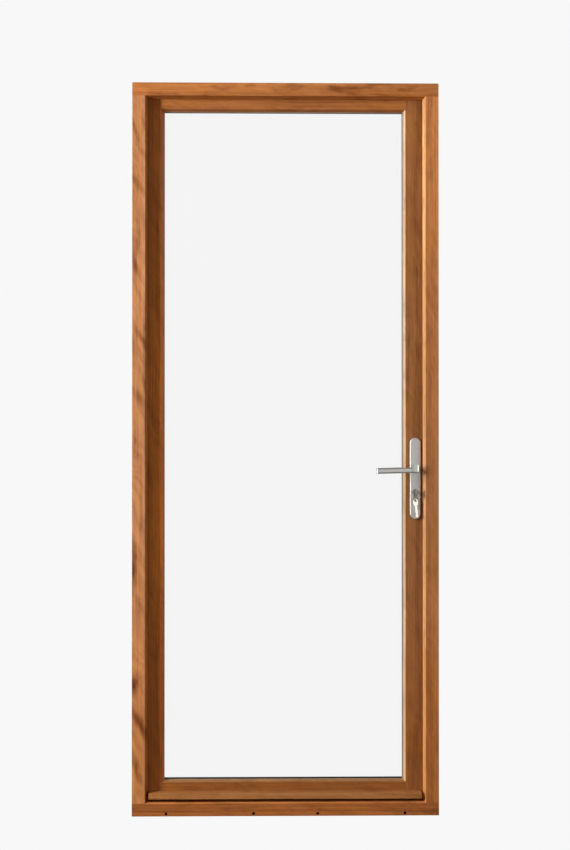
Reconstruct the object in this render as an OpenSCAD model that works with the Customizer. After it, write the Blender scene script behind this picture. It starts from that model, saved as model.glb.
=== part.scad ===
// Single glazed timber door in its own timber frame, opening inwards.
// Outside is towards -Y, inside towards +Y, and +Z is up.
// The origin is the middle of the sill's underside.

/* [Frame] */
// Overall width of the frame
frame_w = 900; // [840:10:1000]
// Overall height of the frame
frame_h = 2150; // [2050:10:2250]
// Depth of the frame, outside to inside
frame_d = 92; // [90:1:100]
// Width of the jambs and the head, seen from outside
frame_face = 38.5; // [36:0.5:46]
// How far the reveal splays inwards from the front to the stop's arris
reveal_splay = 6.5; // [4:0.5:8]
// Depth of the outer stop that the leaf closes against
stop_d = 33; // [30:1:36]
// Step from the stop's arris back to the rebate's side
rebate_step = 17; // [15:1:18]
// Height of the sill's front face
sill_front_h = 37.5; // [34:0.5:44]
// Diameter of the four drain holes in the sill
drain_d = 8.5; // [5:0.5:9]

/* [Leaf] */
// Thickness of the leaf
leaf_t = 56; // [54:1:60]
// Gap between the leaf's edge and the frame's rebate
leaf_gap = 4; // [3:0.5:5]
// Flat face of the hinge stile, from the leaf's edge to its glazing splay
hinge_stile_flat = 52.2; // [48:0.1:60]
// Flat face of the lock stile, from the leaf's edge to its glazing splay
lock_stile_flat = 63.2; // [60:0.1:70]
// Flat face of the top rail
top_rail_flat = 40.4; // [36:0.1:50]
// Flat face of the bottom rail
bottom_rail_flat = 64; // [58:1:80]
// Width of the glazing splay on the stiles and the top rail
glazing_splay = 7.3; // [5:0.1:10]
// Projection of the weather bar from the leaf's face
weather_bar_d = 34.5; // [28:0.5:35]

/* [Glazing] */
// Thickness of each pane
pane_t = 4; // [3:1:6]
// Gap between the panes
pane_gap = 12; // [10:1:16]
// Thickness of the glazing seals on both sides of the unit
glazing_seal_t = 2; // [1.5:0.5:3]
// Clearance between the glass unit and the timber
glass_clearance = 4; // [3:0.5:5]

/* [Lock and handles] */
// Height of the lever's axis above the sill's underside
lever_z = 1017; // [950:1:1060]
// Distance from the lever's axis down to the cylinder's axis
lever_to_cylinder = 70; // [70:1:72]
// Distance from the leaf's edge to the lever's axis
backset = 35; // [34:0.5:38]
// Height of the handle plates
plate_h = 240; // [230:1:260]
// Width of the handle plates
plate_w = 32; // [30:1:36]
// Thickness of the handle plates
plate_t = 8; // [7:0.5:9]
// Length of the outer lever from its axis
lever_len = 117; // [100:1:130]
// Length of the inner lever from its axis
inner_lever_len = 103; // [95:1:130]
// Height of the lever's bar
lever_bar_h = 16; // [14:1:18]

/* [Hinges] */
// Height of each hinge
hinge_h = 100; // [80:1:120]
// Radius of the knuckles
knuckle_r = 6.5; // [6:0.1:7]
// Radius of the pins
pin_r = 4; // [3.5:0.1:4.5]

/* [Hidden] */

// Places across the depth
y_out = -frame_d / 2;
y_in = frame_d / 2;
y_stop = y_out + stop_d;
y_leaf = y_in - leaf_t;
glazing_lip_d = 16;
y_seat = y_leaf + glazing_lip_d;
y_pane_out = y_seat + glazing_seal_t;
y_pane_in = y_pane_out + pane_t + pane_gap;
unit_t = 2 * pane_t + pane_gap;
y_bead = y_pane_out + unit_t + glazing_seal_t;
y_mid = (y_leaf + y_in) / 2;

// Places across the width and the height
stop_w = frame_face + reveal_splay;
rebate_w = stop_w - rebate_step;
sill_stop_h = sill_front_h + reveal_splay;
sill_rebate_h = sill_stop_h - rebate_step;
leaf_x = frame_w / 2 - rebate_w - leaf_gap;
leaf_z0 = sill_rebate_h + leaf_gap;
leaf_z1 = frame_h - rebate_w - leaf_gap;
glazing_rebate = 17;
bottom_rebate = 14;
bottom_slope = 6;
splay_d = 12;
open_x0 = -leaf_x + hinge_stile_flat + glazing_splay + 1;
open_x1 = leaf_x - lock_stile_flat - glazing_splay;
open_z0 = leaf_z0 + bottom_rail_flat + bottom_slope;
open_z1 = leaf_z1 - top_rail_flat - glazing_splay + 0.7;
seat_x0 = open_x0 - glazing_rebate;
seat_x1 = open_x1 + glazing_rebate;
seat_z0 = open_z0 - bottom_rebate;
seat_z1 = open_z1 + glazing_rebate;
glass_x0 = seat_x0 + glass_clearance;
glass_x1 = seat_x1 - glass_clearance;
glass_z0 = seat_z0 + glass_clearance + 1.5;
glass_z1 = seat_z1 - glass_clearance;

// Rounding of the timber's arrises
arris_r = 2.2;
arc_steps = 5;

// Lock
lever_x = leaf_x - backset;
cylinder_z = lever_z - lever_to_cylinder;
plate_z = lever_z - 29;
case_x0 = lever_x - 15.5;
case_wall = 1.5;
case_t = 15;
case_z0 = cylinder_z - 30;
case_z1 = lever_z + 46;
faceplate_t = 2.5;
faceplate_w = 16;
faceplate_h = 235;
faceplate_z = lever_z - 28;
latch_z = lever_z + 27;
latch_h = 17;
latch_out = 12;
bolt_w = 11;
dead_bolt_z = cylinder_z + 28;
dead_bolt_h = 20;
follower_r = 9.5;
spindle_w = 8;
arm_lean = 17.5;
cylinder_r = 8.5;
cylinder_web = 10;
cylinder_drop = 24.5;
plug_r = 6.45;
cam_r = 13.2;
cylinder_out = plate_t + 2.5;
plate_screw_gap = 105;
fit = 0.05;

// Lever
neck_r = 8;
collar_r = 9.6;
collar_t = 5;
hub_x0 = -15;
hub_x1 = 6.5;
hub_z0 = -8.8;
hub_z1 = 11.2;
hub_lift = 1;
bar_drop = 4.3;
bar_droop = 1.6;
bar_gap = 40;
bar_t = 10;
grub_y = -plate_t - 14;
grub_r = 2;

// Key and ring
key_t = 2.2;
key_blade_h = 8;
key_neck = 13.5;
key_bow_r = 12;
ring_r = 14.4;
ring_wire_r = 0.9;
ring_y = y_leaf - cylinder_out - 8;
ring_top = 5.3;
spare_turn = 57;
spare_lean = 7;
spare_bow_half = 8;
spare_hole_r = 4.2;

// Hinges
hinge_x = -(leaf_x + leaf_gap / 2);
hinge_y = y_in + knuckle_r + 0.3;
flap_t = 2.5;
flap_w = 24;
washer_t = 2;
hinge_zs = [230, frame_h / 2, frame_h - 230];
flap_screw_x = 14;
flap_screw_zs = [-35, 0, 35];

// Fixing holes through the jambs into the wall
fixing_zs = [250, 250 + (frame_h - 500) / 3, frame_h - 250 - (frame_h - 500) / 3, frame_h - 250];
fixing_y = 20;
fixing_r = 4.25;
fixing_head_r = 7.5;
fixing_head_d = 8;

drain_xs = [-350, -94, 94, 350];
drain_z = 7.5;
drain_back_y = -5;

timber = [0.62, 0.36, 0.19];
timber_dark = [0.52, 0.29, 0.15];
steel = [0.7, 0.69, 0.67];
brass = [0.80, 0.66, 0.36];
zinc = [0.62, 0.63, 0.65];
black = [0.08, 0.08, 0.08];
glass = [0.80, 0.90, 0.88, 0.35];

// ---------------------------------------------------------------- outlines

function unit(v) = v / norm(v);

// Points of an arc of radius r that rounds the corner b between a and c
function corner(a, b, c, r) =
    let (
        u = unit(a - b),
        w = unit(c - b),
        half = acos(u * w) / 2,
        centre = b + unit(u + w) * r / sin(half),
        p = b + u * r / tan(half) - centre,
        q = b + w * r / tan(half) - centre,
        a0 = atan2(p.y, p.x),
        swing = atan2(q.y, q.x) - a0,
        turn = swing > 180 ? swing - 360 : swing < -180 ? swing + 360 : swing
    )
    [for (i = [0:arc_steps]) centre + r * [cos(a0 + turn * i / arc_steps), sin(a0 + turn * i / arc_steps)]];

// An outline whose third coordinates, where given, are corner radii
function eased(pts) = [
    for (i = [0:len(pts) - 1])
        let (n = len(pts), a = pts[(i + n - 1) % n], b = pts[i], c = pts[(i + 1) % n])
        each (len(b) == 3 ? corner([a.x, a.y], [b.x, b.y], [c.x, c.y], b[2]) : [b])
];

// The same outline with sharp corners, used to cut the joints
function sharp(pts) = [for (p = pts) [p.x, p.y]];

// Frame section: distance from the outer edge, then depth
frame_section = [
    [0, y_out, 1], [frame_face, y_out, arris_r], [stop_w, y_stop, 1.2],
    [rebate_w, y_stop], [rebate_w, y_in, 1.5], [0, y_in, 1]
];
// Sill section: depth, then height
sill_section = [
    [y_out, 0, 1], [y_out, sill_front_h, arris_r], [y_stop, sill_stop_h, 1.2],
    [y_stop, sill_rebate_h], [y_in, sill_rebate_h, 1.5], [y_in, 0, 1]
];
// Groove along the sill's front: depth, then height
sill_groove = [[y_out - 1, 12], [y_out + 2, 13.2], [y_out + 2, 14.8], [y_out - 1, 16]];

// Leaf section: distance from the leaf's edge, then depth
function leaf_section(flat, splay, step, depth) = [
    [0, y_leaf, 1], [flat, y_leaf, arris_r], [flat + splay, y_leaf + depth], [flat + splay, y_seat],
    [flat + splay - step, y_seat], [flat + splay - step, y_in, 1.5], [0, y_in, 1.5]
];

hinge_stile_section = leaf_section(hinge_stile_flat, open_x0 + leaf_x - hinge_stile_flat,
    glazing_rebate, splay_d);
lock_stile_section = leaf_section(lock_stile_flat, glazing_splay, glazing_rebate, splay_d);
top_rail_section = leaf_section(top_rail_flat, leaf_z1 - open_z1 - top_rail_flat, glazing_rebate,
    splay_d);
bottom_rail_section = leaf_section(bottom_rail_flat, bottom_slope, bottom_rebate, glazing_lip_d - 1);

// ---------------------------------------------------------------- helpers

module block(x0, x1, y0, y1, z0, z1) {
    translate([x0, y0, z0])
        cube([x1 - x0, y1 - y0, z1 - z0]);
}

// A member along X whose outline is [depth, height]
module along_x(x0, x1, pts) {
    translate([x0, 0, 0])
        rotate([90, 0, 90])
            linear_extrude(x1 - x0)
                polygon(pts);
}

// A member along Z whose outline is [distance, depth]; side is -1 on the hinge side, 1 on the lock side
module upright(side, edge_x, z0, z1, pts) {
    translate([0, 0, z0])
        linear_extrude(z1 - z0)
            polygon([for (p = pts) [side * (edge_x - p.x), p.y]]);
}

// A rod along Y from y0 to y1
module rod_y(x, z, r, y0, y1, sides = 48) {
    translate([x, y1, z])
        rotate([90, 0, 0])
            cylinder(r = r, h = y1 - y0, $fn = sides);
}

// A rod along X from x0 to x1
module rod_x(x0, x1, y, z, r, sides = 48) {
    translate([x0, y, z])
        rotate([0, 90, 0])
            cylinder(r = r, h = x1 - x0, $fn = sides);
}

// A rectangular ring that lies in the XZ plane
module ring_xz(outer, inner, y0, y1) {
    difference() {
        block(outer[0], outer[1], y0, y1, outer[2], outer[3]);
        block(inner[0], inner[1], y0 - 1, y1 + 1, inner[2], inner[3]);
    }
}

// Countersunk screw along +Y whose head is flush at y = 0; a grown one is the hole for it
module screw(len, r, head_r, grow = 0) {
    slot_w = head_r * 0.24;
    difference() {
        rotate([-90, 0, 0]) {
            cylinder(r = r + grow, h = len + grow, $fn = 24);
            rotate_extrude($fn = 32)
                polygon([[0, 0], [head_r + grow, 0], [r + grow, head_r - r], [0, head_r - r]]);
        }
        if (grow == 0) {
            block(-head_r * 0.55, head_r * 0.55, -1, head_r * 0.35, -slot_w / 2, slot_w / 2);
            block(-slot_w / 2, slot_w / 2, -1, head_r * 0.35, -head_r * 0.55, head_r * 0.55);
        }
    }
}

// ---------------------------------------------------------------- timber frame

module head_blank(pts) {
    along_x(-frame_w / 2, frame_w / 2, [for (p = pts) [p.y, frame_h - p.x]]);
}

module sill_blank(pts) {
    along_x(-frame_w / 2, frame_w / 2, pts);
}

module jamb_blank(side, pts) {
    upright(side, frame_w / 2, 0, frame_h, pts);
}

module above(z) {
    block(-frame_w, frame_w, -frame_d, frame_d, z, frame_h + 10);
}

module below(z) {
    block(-frame_w, frame_w, -frame_d, frame_d, -10, z);
}

tenon_x0 = frame_w / 2 - 24;
tenon_x1 = frame_w / 2 - 6;
tenon_y0 = 26;
tenon_y1 = 40;
tenon_len = 16;

module frame_tenons(side, grow = 0) {
    x0 = side > 0 ? tenon_x0 : -tenon_x1;
    x1 = side > 0 ? tenon_x1 : -tenon_x0;
    block(x0, x1, tenon_y0, tenon_y1, frame_h - rebate_w, frame_h - rebate_w + tenon_len + grow);
    block(x0, x1, tenon_y0, tenon_y1, sill_rebate_h - tenon_len - grow, sill_rebate_h);
}

module seal_groove() {
    ring_xz(
        [-frame_w / 2 + 35.5, frame_w / 2 - 35.5, sill_stop_h - 9.5, frame_h - 35.5],
        [-frame_w / 2 + 38.5, frame_w / 2 - 38.5, sill_stop_h - 6.5, frame_h - 38.5],
        y_stop - 6, y_stop
    );
}

module corner_screw_set(grow = 0) {
    for (x = [-1, 1] * (frame_w / 2 - 15)) {
        for (y = [-30, 8]) {
            translate([x, y, frame_h])
                rotate([-90, 0, 0])
                    screw(80, 2.5, 5, grow);
            translate([x, y, 0])
                rotate([90, 0, 0])
                    screw(80, 2.5, 5, grow);
        }
    }
}

module fixing_holes(side) {
    inner = frame_w / 2 - rebate_w;
    for (z = fixing_zs) {
        mirror([side < 0 ? 1 : 0, 0, 0]) {
            rod_x(inner - 1, frame_w / 2 + 1, fixing_y, z, fixing_r);
            rod_x(inner - 1, inner + fixing_head_d, fixing_y, z, fixing_head_r);
        }
    }
}

module frame_jamb(side) {
    difference() {
        jamb_blank(side, eased(frame_section));
        intersection() {
            head_blank(sharp(frame_section));
            above(frame_h - frame_face);
        }
        intersection() {
            sill_blank(sharp(sill_section));
            below(sill_front_h);
        }
        seal_groove();
        fixing_holes(side);
        corner_screw_set(fit);
    }
    frame_tenons(side);
}

module frame_head() {
    color(timber_dark)
        difference() {
            head_blank(eased(frame_section));
            intersection() {
                jamb_blank(-1, sharp(frame_section));
                below(frame_h - frame_face);
            }
            intersection() {
                jamb_blank(1, sharp(frame_section));
                below(frame_h - frame_face);
            }
            frame_tenons(-1, 1);
            frame_tenons(1, 1);
            seal_groove();
            corner_screw_set(fit);
        }
}

module drain_holes() {
    for (x = drain_xs) {
        rod_y(x, drain_z, drain_d / 2, y_out - 1, drain_back_y, 24);
        translate([x, drain_back_y, drain_z])
            cylinder(d = drain_d, h = sill_rebate_h, $fn = 24);
    }
}

module frame_sill() {
    color(timber_dark)
        difference() {
            sill_blank(eased(sill_section));
            along_x(-frame_w / 2 - 1, frame_w / 2 + 1, sill_groove);
            intersection() {
                jamb_blank(-1, sharp(frame_section));
                above(sill_front_h);
            }
            intersection() {
                jamb_blank(1, sharp(frame_section));
                above(sill_front_h);
            }
            frame_tenons(-1, 1);
            frame_tenons(1, 1);
            drain_holes();
            seal_groove();
            corner_screw_set(fit);
        }
}

module frame_hinge_jamb() {
    color(timber)
        difference() {
            frame_jamb(-1);
            hinge_screw_set(-1, fit);
        }
}

module frame_lock_jamb() {
    color(timber)
        difference() {
            frame_jamb(1);
            strike_blank(0);
            strike_screw_set(fit);
            block(leaf_x + leaf_gap - 1, leaf_x + latch_out + 2, y_mid - 6, y_mid + 6,
                latch_z - latch_h / 2 - 1, latch_z + latch_h / 2 + 1);
            block(leaf_x + leaf_gap - 1, leaf_x + 23, y_mid - 6, y_mid + 6,
                dead_bolt_z - dead_bolt_h / 2 - 1, dead_bolt_z + dead_bolt_h / 2 + 1);
        }
}

module frame_seal() {
    color(black) {
        seal_groove();
        ring_xz(
            [-frame_w / 2 + 33, frame_w / 2 - 33, sill_stop_h - 12, frame_h - 33],
            [-frame_w / 2 + 41, frame_w / 2 - 41, sill_stop_h - 4, frame_h - 41],
            y_stop, y_leaf - 0.3
        );
    }
}

module corner_screws() {
    color(zinc)
        corner_screw_set();
}

// ---------------------------------------------------------------- strike

module strike_blank(grow) {
    block(leaf_x + leaf_gap, leaf_x + leaf_gap + 2.5, y_mid - 12 - grow, y_mid + 12 + grow,
        cylinder_z - 10 - grow, lever_z + 58 + grow);
}

module strike_screw_set(grow = 0) {
    for (z = [cylinder_z + 3, lever_z - 6, lever_z + 49]) {
        translate([leaf_x + leaf_gap, y_mid, z])
            rotate([0, 0, -90])
                screw(22, 2, 3.8, grow);
    }
}

module strike_plate() {
    color(steel)
        difference() {
            strike_blank(0);
            block(leaf_x, leaf_x + 10, y_mid - 6, y_mid + 6, latch_z - latch_h / 2 - 1,
                latch_z + latch_h / 2 + 1);
            block(leaf_x, leaf_x + 10, y_mid - 6, y_mid + 6, dead_bolt_z - dead_bolt_h / 2 - 1,
                dead_bolt_z + dead_bolt_h / 2 + 1);
            strike_screw_set(fit);
        }
}

module strike_screws() {
    color(zinc)
        strike_screw_set();
}

// ---------------------------------------------------------------- leaf timber

module stile_blank(side, pts) {
    upright(side, leaf_x, leaf_z0, leaf_z1, pts);
}

module top_rail_blank(pts) {
    along_x(-leaf_x, leaf_x, [for (p = pts) [p.y, leaf_z1 - p.x]]);
}

module bottom_rail_blank(pts) {
    along_x(-leaf_x, leaf_x, [for (p = pts) [p.y, leaf_z0 + p.x]]);
}

rail_tenon_len = 30;

module rail_tenons(z0, z1, grow = 0) {
    block(seat_x0 - rail_tenon_len - grow, seat_x0, y_mid - 7, y_mid + 7, z0, z1);
    block(seat_x1, seat_x1 + rail_tenon_len + grow, y_mid - 7, y_mid + 7, z0, z1);
}

module top_tenons(grow = 0) {
    rail_tenons(seat_z1 + 2, leaf_z1 - 6, grow);
}

module bottom_tenons(grow = 0) {
    rail_tenons(leaf_z0 + 8, seat_z0 - 6, grow);
}

module weather_tongue() {
    block(-leaf_x + 16.5, leaf_x - 18.5, y_leaf - 1, y_leaf + 5, 54, 61);
}

module hinge_stile() {
    color(timber)
        difference() {
            stile_blank(-1, eased(hinge_stile_section));
            top_tenons(1);
            bottom_tenons(1);
            weather_tongue();
            hinge_screw_set(1, fit);
        }
}

module lock_stile() {
    color(timber)
        difference() {
            stile_blank(1, eased(lock_stile_section));
            top_tenons(1);
            bottom_tenons(1);
            weather_tongue();
            block(case_x0 - 0.5, leaf_x + 1, y_mid - case_t / 2 - 0.5, y_mid + case_t / 2 + 0.5,
                case_z0 - 0.5, case_z1 + 0.5);
            faceplate_blank();
            rod_y(lever_x, lever_z, 12, y_leaf - 1, y_in + 1);
            cylinder_profile(y_leaf - 1, y_in + 1, 0.6);
            for (z = plate_screw_zs)
                rod_y(lever_x, z, 4.3, y_leaf - 1, y_in + 1, 24);
            lock_screw_set(fit);
        }
}

module top_rail() {
    color(timber_dark) {
        difference() {
            top_rail_blank(eased(top_rail_section));
            stile_blank(-1, sharp(hinge_stile_section));
            stile_blank(1, sharp(lock_stile_section));
        }
        top_tenons();
    }
}

module bottom_rail() {
    color(timber_dark) {
        difference() {
            bottom_rail_blank(eased(bottom_rail_section));
            stile_blank(-1, sharp(hinge_stile_section));
            stile_blank(1, sharp(lock_stile_section));
            weather_tongue();
        }
        bottom_tenons();
    }
}

weather_section = [
    [y_leaf, 53], [y_leaf - 22, 51], [y_leaf - 24, 54.5], [y_leaf - 28, 54.1], [y_leaf - 28, 50],
    [y_leaf - weather_bar_d, 49.1, 1.2], [y_leaf - weather_bar_d, 65.8, 2.4], [y_leaf, 70.6]
];

module weather_bar() {
    color(timber) {
        along_x(-leaf_x + 16.5, leaf_x - 18.5, eased(weather_section));
        intersection() {
            weather_tongue();
            block(-leaf_x, leaf_x, y_leaf, y_in, 0, 100);
        }
    }
}

// ---------------------------------------------------------------- glazing

module pane(y0) {
    block(glass_x0, glass_x1, y0, y0 + pane_t, glass_z0, glass_z1);
}

module outer_pane() {
    color(glass)
        pane(y_pane_out);
}

module inner_pane() {
    color(glass)
        pane(y_pane_in);
}

edge_seal_w = 5;
spacer_w = 8;

function inset(d) = [glass_x0 + d, glass_x1 - d, glass_z0 + d, glass_z1 - d];

module spacer_bar() {
    color(black)
        ring_xz(inset(edge_seal_w), inset(edge_seal_w + spacer_w), y_pane_out + pane_t, y_pane_in);
}

module edge_sealant() {
    color([0.15, 0.15, 0.15])
        ring_xz(inset(0), inset(edge_seal_w), y_pane_out + pane_t, y_pane_in);
}

// The outer seal shows as a thin line round the glass
module outer_glazing_seal() {
    color([0.55, 0.50, 0.45])
        ring_xz(
            [open_x0 - 9, open_x1 + 9, open_z0 - 7, open_z1 + 9],
            [open_x0 + 2, open_x1 - 2, open_z0 + 1.5, open_z1 - 2],
            y_seat, y_pane_out
        );
}

module inner_glazing_seal() {
    color(black)
        ring_xz(
            [open_x0 - 9, open_x1 + 9, open_z0 - 7, open_z1 + 9],
            [open_x0 + 1, open_x1 - 1, open_z0 + 1, open_z1 - 1],
            y_bead - glazing_seal_t, y_bead
        );
}

module setting_blocks() {
    color(black)
        for (x = [-250, 170])
            block(x, x + 80, y_pane_out, y_pane_out + unit_t, seat_z0, glass_z0);
}

bead_w = 17;
bead_section = [
    [0, y_bead], [bead_w, y_bead], [bead_w, y_bead + 4, 1], [bead_w - 6, y_in, 2], [0, y_in]
];

// A mitre wedge over one side of the glazing rebate, as seen from outside
module mitre(a, b, c, d) {
    translate([0, y_in + 1, 0])
        rotate([90, 0, 0])
            linear_extrude(y_in - y_bead + 2)
                polygon([a, b, c, d]);
}

bead_reach = 120;

module bead_upright(side) {
    edge = side < 0 ? seat_x0 : seat_x1;
    back = edge - side * bead_reach;
    intersection() {
        translate([0, 0, seat_z0])
            linear_extrude(seat_z1 - seat_z0)
                polygon([for (p = eased(bead_section)) [edge - side * p.x, p.y]]);
        mitre([edge, seat_z0], [back, seat_z0 + bead_reach], [back, seat_z1 - bead_reach], [edge, seat_z1]);
    }
}

module bead_level(side) {
    edge = side < 0 ? seat_z0 : seat_z1;
    back = edge - side * bead_reach;
    intersection() {
        along_x(seat_x0, seat_x1, [for (p = eased(bead_section)) [p.y, edge - side * p.x]]);
        mitre([seat_x0, edge], [seat_x0 + bead_reach, back], [seat_x1 - bead_reach, back], [seat_x1, edge]);
    }
}

module bead_pin_set(grow = 0) {
    y = y_bead + 9;
    for (z = [0:5]) {
        at = seat_z0 + 120 + z * (seat_z1 - seat_z0 - 240) / 5;
        rod_x(seat_x0 - 14, seat_x0 + 11, y, at, 0.8 + grow, 16);
        rod_x(seat_x1 - 11, seat_x1 + 14, y, at, 0.8 + grow, 16);
    }
    for (x = [0:2]) {
        at = seat_x0 + 100 + x * (seat_x1 - seat_x0 - 200) / 2;
        for (z = [seat_z0 - 14, seat_z1 - 11])
            translate([at, y, z])
                cylinder(r = 0.8 + grow, h = 25, $fn = 16);
    }
}

module bead_hinge_side() {
    color(timber)
        difference() {
            bead_upright(-1);
            bead_pin_set(0.02);
        }
}

module bead_lock_side() {
    color(timber)
        difference() {
            bead_upright(1);
            bead_pin_set(0.02);
        }
}

module bead_top() {
    color(timber)
        difference() {
            bead_level(1);
            bead_pin_set(0.02);
        }
}

module bead_bottom() {
    color(timber)
        difference() {
            bead_level(-1);
            bead_pin_set(0.02);
        }
}

// Only the length of each pin inside its bead is drawn, where its hole is
module bead_pins() {
    color(zinc)
        intersection() {
            bead_pin_set();
            block(seat_x0, seat_x1, y_bead, y_in, seat_z0, seat_z1);
        }
}

// ---------------------------------------------------------------- hinges

module hinge_screw_set(side, grow = 0) {
    for (z = hinge_zs)
        for (dz = flap_screw_zs)
            translate([hinge_x + side * flap_screw_x, y_in + flap_t, z + dz])
                mirror([0, 1, 0])
                    screw(30, 1.75, 3.5, grow);
}

module knuckle(z0, z1) {
    translate([hinge_x, hinge_y, z0])
        cylinder(r = knuckle_r, h = z1 - z0, $fn = 48);
}

// One flap with its half knuckle; side is -1 for the frame's and 1 for the leaf's
module hinge_flap(side, z) {
    near = knuckle_r - 1.1;
    z0 = side < 0 ? -hinge_h / 2 : washer_t / 2;
    z1 = side < 0 ? -washer_t / 2 : hinge_h / 2;
    far_x = hinge_x + side * flap_w;
    near_x = hinge_x + side * near;
    difference() {
        union() {
            block(min(far_x, near_x), max(far_x, near_x), y_in, y_in + flap_t, z - hinge_h / 2,
                z + hinge_h / 2);
            block(min(hinge_x, near_x), max(hinge_x, near_x), y_in + 0.3, y_in + flap_t, z + z0,
                z + z1);
            knuckle(z + z0, z + z1);
        }
        translate([hinge_x, hinge_y, z - hinge_h / 2 - 1])
            cylinder(r = pin_r + fit, h = hinge_h - 4, $fn = 48);
    }
}

module hinge_frame_flaps() {
    color(steel)
        difference() {
            for (z = hinge_zs)
                hinge_flap(-1, z);
            hinge_screw_set(-1, fit);
        }
}

module hinge_leaf_flaps() {
    color(steel)
        difference() {
            for (z = hinge_zs)
                hinge_flap(1, z);
            hinge_screw_set(1, fit);
        }
}

module hinge_pins() {
    color(steel)
        for (z = hinge_zs)
            translate([hinge_x, hinge_y, z]) {
                translate([0, 0, -hinge_h / 2])
                    cylinder(r = pin_r, h = hinge_h - 8, $fn = 48);
                translate([0, 0, -hinge_h / 2 - 4])
                    rotate_extrude($fn = 48)
                        polygon(eased([[0, 0], [4, 0], [knuckle_r - 0.3, 1.6], [knuckle_r - 0.3, 4], [0, 4]]));
            }
}

module hinge_washers() {
    color(brass)
        for (z = hinge_zs)
            translate([hinge_x, hinge_y, z - washer_t / 2])
                difference() {
                    cylinder(r = knuckle_r - 0.4, h = washer_t, $fn = 48);
                    translate([0, 0, -1])
                        cylinder(r = pin_r + fit, h = washer_t + 2, $fn = 48);
                }
}

module hinge_frame_screws() {
    color(zinc)
        hinge_screw_set(-1);
}

module hinge_leaf_screws() {
    color(zinc)
        hinge_screw_set(1);
}

// ---------------------------------------------------------------- lock

plate_screw_zs = [plate_z - plate_screw_gap, plate_z + plate_screw_gap];

// Profile cylinder outline along Y, grown by a clearance
module cylinder_profile(y0, y1, grow = 0) {
    rod_y(lever_x, cylinder_z, cylinder_r + grow, y0, y1);
    rod_y(lever_x, cylinder_z - cylinder_drop + cylinder_web / 2, cylinder_web / 2 + grow, y0, y1);
    block(lever_x - cylinder_web / 2 - grow, lever_x + cylinder_web / 2 + grow, y0, y1,
        cylinder_z - cylinder_drop + cylinder_web / 2, cylinder_z);
}

module faceplate_blank() {
    block(leaf_x - faceplate_t, leaf_x + 0.01, y_mid - faceplate_w / 2, y_mid + faceplate_w / 2,
        faceplate_z - faceplate_h / 2, faceplate_z + faceplate_h / 2);
}

module bolt_windows(x0, x1) {
    block(x0, x1, y_mid - bolt_w / 2 - 0.3, y_mid + bolt_w / 2 + 0.3, latch_z - latch_h / 2 - 0.3,
        latch_z + latch_h / 2 + 0.3);
    block(x0, x1, y_mid - bolt_w / 2 - 0.3, y_mid + bolt_w / 2 + 0.3,
        dead_bolt_z - dead_bolt_h / 2 - 0.3, dead_bolt_z + dead_bolt_h / 2 + 0.3);
}

cylinder_screw_z = cylinder_z - 20;

module lock_case() {
    y0 = y_mid - case_t / 2;
    y1 = y_mid + case_t / 2 - case_wall;
    color(zinc)
        difference() {
            block(case_x0, leaf_x - faceplate_t, y0, y1, case_z0, case_z1);
            block(case_x0 + case_wall, leaf_x - faceplate_t - case_wall, y0 + case_wall, y1 + 1,
                case_z0 + case_wall, case_z1 - case_wall);
            bolt_windows(leaf_x - 8, leaf_x);
            rod_y(lever_x, lever_z, follower_r + 0.08, y0 - 1, y1);
            cylinder_profile(y0 - 1, y1, 0.3);
            rod_x(leaf_x - 8, leaf_x, y_mid, cylinder_screw_z, 2.8);
        }
}

module lock_cover() {
    y0 = y_mid + case_t / 2 - case_wall;
    color(zinc)
        difference() {
            block(case_x0, leaf_x - faceplate_t, y0, y0 + case_wall, case_z0, case_z1);
            rod_y(lever_x, lever_z, follower_r + 0.08, y0 - 1, y0 + 3);
            cylinder_profile(y0 - 1, y0 + 3, 0.3);
        }
}

module lock_screw_set(grow = 0) {
    for (z = [-1, 1] * (faceplate_h / 2 - 9))
        translate([leaf_x, y_mid, faceplate_z + z])
            rotate([0, 0, 90])
                screw(32, 2, 3.8, grow);
}

module lock_faceplate() {
    color(steel)
        difference() {
            block(leaf_x - faceplate_t, leaf_x, y_mid - faceplate_w / 2, y_mid + faceplate_w / 2,
                faceplate_z - faceplate_h / 2, faceplate_z + faceplate_h / 2);
            bolt_windows(leaf_x - 8, leaf_x + 1);
            lock_screw_set(fit);
            translate([leaf_x, y_mid, cylinder_screw_z])
                rotate([0, 0, 90])
                    screw(10, 2.5, 4.2, fit);
        }
}

module lock_screws() {
    color(zinc)
        lock_screw_set();
}

module cylinder_screw() {
    color(zinc)
        translate([leaf_x, y_mid, cylinder_screw_z])
            rotate([0, 0, 90])
                screw(backset + 3, 2.5, 4.2);
}

module latch_bolt() {
    y0 = y_mid - bolt_w / 2;
    y1 = y_mid + bolt_w / 2;
    tip = leaf_x + latch_out;
    rear = leaf_x - 20;
    lug_x0 = lever_x - 1.8;
    color(brass) {
        translate([0, 0, latch_z - latch_h / 2])
            linear_extrude(latch_h)
                polygon(eased([
                    [rear, y0], [leaf_x + 1, y0], [tip, y1 - 3.5, 1], [tip, y1, 1], [rear, y1]
                ]));
        block(lug_x0, rear, y_mid - 3, y_mid + 3, latch_z - 3, latch_z + 3);
        block(lug_x0, lug_x0 + 2, y_mid - 3, y_mid + 3, lever_z + 12, latch_z);
    }
}

// Latch spring: a coil above the latch's tail, between the case's back wall and the bolt's head
spring_r = 3;
spring_wire_r = 0.45;
spring_turns = 7;
spring_x0 = case_x0 + case_wall;
spring_x1 = leaf_x - 20;
spring_sides = 6;
spring_steps = 10;

function spring_point(i, j) =
    let (
        a = 360 * i / spring_steps,
        b = 360 * j / spring_sides,
        r = spring_r + spring_wire_r * cos(b),
        run = spring_x1 - spring_x0 - 2 * spring_wire_r,
        along = run * i / (spring_turns * spring_steps) + spring_wire_r * (1 + sin(b))
    )
    [spring_x0 + along, y_mid + r * cos(a), latch_z + 6.5 + r * sin(a)];

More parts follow.
